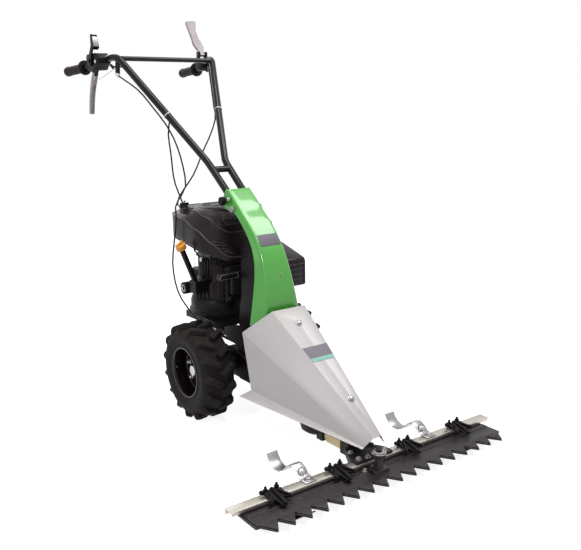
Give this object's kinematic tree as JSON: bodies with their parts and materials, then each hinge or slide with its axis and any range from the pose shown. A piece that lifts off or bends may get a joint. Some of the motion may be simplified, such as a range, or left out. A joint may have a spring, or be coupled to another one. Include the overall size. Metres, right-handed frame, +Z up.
{
  "type": "motor scythe",
  "caption": "Walk-behind meadow mower: sickle bar with sliding knife, folded hood over the knife drive, upright engine, lugged wheels and a V-shaped handlebar with levers.",
  "frame": {"origin": "on the ground, at the middle of the bounding box seen from above, close to the point under the wheel axle", "axes": "+X to the operator's left, along the cutter bar and the wheel axle; +Y backwards, from the cutter bar to the grips; +Z up"},
  "size_m": [0.94, 1.5894, 1.3299],
  "materials": {
    "green_paint": "glossy spring-green enamel",
    "hood_paint": "satin silver-grey enamel",
    "black_paint": "semi-gloss black paint",
    "black_gloss": "glossy near-black enamel",
    "engine_plastic": "grained black plastic",
    "engine_metal": "black heat-proof coating on cast alloy",
    "cast_iron": "dark grey cast and forged steel",
    "comb_steel": "dark hardened steel",
    "rail_zinc": "dull zinc plate with yellowed edges",
    "bright_zinc": "bright zinc plate",
    "sleeve_brass": "dull tan bronze",
    "lever_alloy": "satin cast alloy",
    "shaft_steel": "turned bare steel",
    "tyre_rubber": "dull black-brown rubber",
    "belt_rubber": "dull black rubber",
    "grip_rubber": "soft black-brown grip rubber",
    "cap_yellow": "orange-yellow plastic",
    "cable_black": "black cable sheath"
  },
  "bodies": {
    "machine": {"main_frame": "black_paint", "column_frame": "black_paint", "column_cover": "green_paint", "handlebar_pivot_bolt": "bright_zinc", "hood": "hood_paint", "hood_bracket": "black_paint", "gearbox": "cast_iron", "knife_belt": "belt_rubber", "wheel_belt": "belt_rubber", "crank_housing": "cast_iron", "bar_carrier": "cast_iron", "neck_sleeve": "sleeve_brass", "finger_bar": "comb_steel", "bar_rail": "rail_zinc", "knife_clip_1": "black_paint", "knife_clip_2": "black_paint", "knife_clip_3": "black_paint", "knife_clip_4": "black_paint", "crop_strip_left": "bright_zinc", "crop_strip_right": "bright_zinc", "skid_left": "black_paint", "skid_right": "black_paint", "crankcase": "engine_metal", "cylinder": "engine_metal", "rocker_cover": "engine_metal", "blower_shroud": "engine_plastic", "air_cleaner": "engine_plastic", "muffler": "engine_metal", "fuel_tank": "engine_plastic"},
    "wheels": {"axle_shaft": "shaft_steel", "worm_wheel": "sleeve_brass", "tyre_left": "tyre_rubber", "tyre_right": "tyre_rubber", "rim_left": "black_gloss", "rim_right": "black_gloss"},
    "worm": {"worm_shaft": "shaft_steel"},
    "crank": {"crank_shaft": "shaft_steel"},
    "engine_shaft": {"crankshaft": "shaft_steel", "flywheel": "cast_iron"},
    "lever": {"drive_lever": "cast_iron"},
    "knife_bar": {"knife": "comb_steel"},
    "idler": {"idler_arm": "shaft_steel"},
    "handlebar": {"handlebar_left": "black_gloss", "handlebar_right": "black_gloss", "crossbar": "black_gloss", "lower_cross_tube": "black_gloss", "grip_left": "grip_rubber", "grip_right": "grip_rubber", "control_housing_right": "black_paint", "control_clamp_left": "black_paint", "clutch_cable": "cable_black", "throttle_cable": "cable_black", "stop_cable": "cable_black"},
    "clutch": {"clutch_lever": "lever_alloy"},
    "throttle": {"throttle_lever": "black_paint"},
    "left_control": {"left_lever": "lever_alloy"},
    "knob": {"clamp_knob": "black_paint"},
    "oil_dipstick": {"dipstick": "cap_yellow"},
    "tank_cap": {"fuel_cap": "engine_plastic"},
    "starter": {"starter_handle": "grip_rubber"}
  },
  "joints": [
    {"name": "wheel_spin", "type": "hinge", "parent": "machine", "child": "wheels", "pos_m": [0, -0.02965, 0.1605], "axis": [1, 0, 0], "continuous": true},
    {"name": "worm_spin", "type": "hinge", "parent": "machine", "child": "worm", "pos_m": [0, -0.07395, 0.2], "axis": [0, 0, 1], "continuous": true},
    {"name": "crank_spin", "type": "hinge", "parent": "machine", "child": "crank", "pos_m": [0, -0.42965, 0.2], "axis": [0, 0, 1], "continuous": true},
    {"name": "crankshaft_spin", "type": "hinge", "parent": "machine", "child": "engine_shaft", "pos_m": [0, 0.12035, 0.4], "axis": [0, 0, 1], "continuous": true},
    {"name": "knife_slide", "type": "slide", "parent": "machine", "child": "knife_bar", "axis": [1, 0, 0], "range_m": [0, 0.0508]},
    {"name": "lever_swing", "type": "hinge", "parent": "machine", "child": "lever", "pos_m": [0, -0.58965, 0.082], "axis": [0, 0, 1], "range_deg": [0, 20.92]},
    {"name": "handlebar_tilt", "type": "hinge", "parent": "machine", "child": "handlebar", "pos_m": [0, -0.05465, 0.678], "axis": [1, 0, 0], "range_deg": [-12, 6], "deforming": ["clutch_cable", "throttle_cable", "stop_cable"]},
    {"name": "clutch_squeeze", "type": "hinge", "parent": "handlebar", "child": "clutch", "pos_m": [-0.23, 0.55935, 1.117], "axis": [1, 0, 0], "range_deg": [0, 52], "stiffness_Nm_per_rad": 0.6, "springref_deg": -20.05},
    {"name": "idler_swing", "type": "hinge", "parent": "machine", "child": "idler", "pos_m": [-0.008, -0.32965, 0.2015], "axis": [0, 0, 1], "range_deg": [-4.8, 0]},
    {"name": "throttle_turn", "type": "hinge", "parent": "handlebar", "child": "throttle", "pos_m": [-0.2491, 0.55735, 1.161], "axis": [1, 0, 0], "range_deg": [-60, 0]},
    {"name": "left_lever_squeeze", "type": "hinge", "parent": "handlebar", "child": "left_control", "pos_m": [0.21, 0.56235, 1.196], "axis": [1, 0, 0], "range_deg": [-42, 0], "stiffness_Nm_per_rad": 0.6, "springref_deg": 34.38},
    {"name": "knob_spin", "type": "hinge", "parent": "machine", "child": "knob", "pos_m": [-0.067, -0.01165, 0.702], "axis": [1, 0, 0], "continuous": true},
    {"name": "dipstick_pull", "type": "slide", "parent": "machine", "child": "oil_dipstick", "axis": [-0.4198, -0.1539, 0.8945], "range_m": [0, 0.12]},
    {"name": "cap_lift", "type": "slide", "parent": "machine", "child": "tank_cap", "axis": [0, 0, 1], "range_m": [0, 0.025]},
    {"name": "starter_pull", "type": "slide", "parent": "machine", "child": "starter", "axis": [0, 0.96, 0.28], "range_m": [0, 0.5], "stiffness_N_per_m": 10, "springref_m": -0.5}
  ],
  "couplings": [
    {"joint": "worm_spin", "follows": "wheel_spin", "ratio": 24},
    {"joint": "lever_swing", "follows": "knife_slide", "rad_per_m": 7.183},
    {"joint": "idler_swing", "follows": "clutch_squeeze", "ratio": -0.0923}
  ]
}
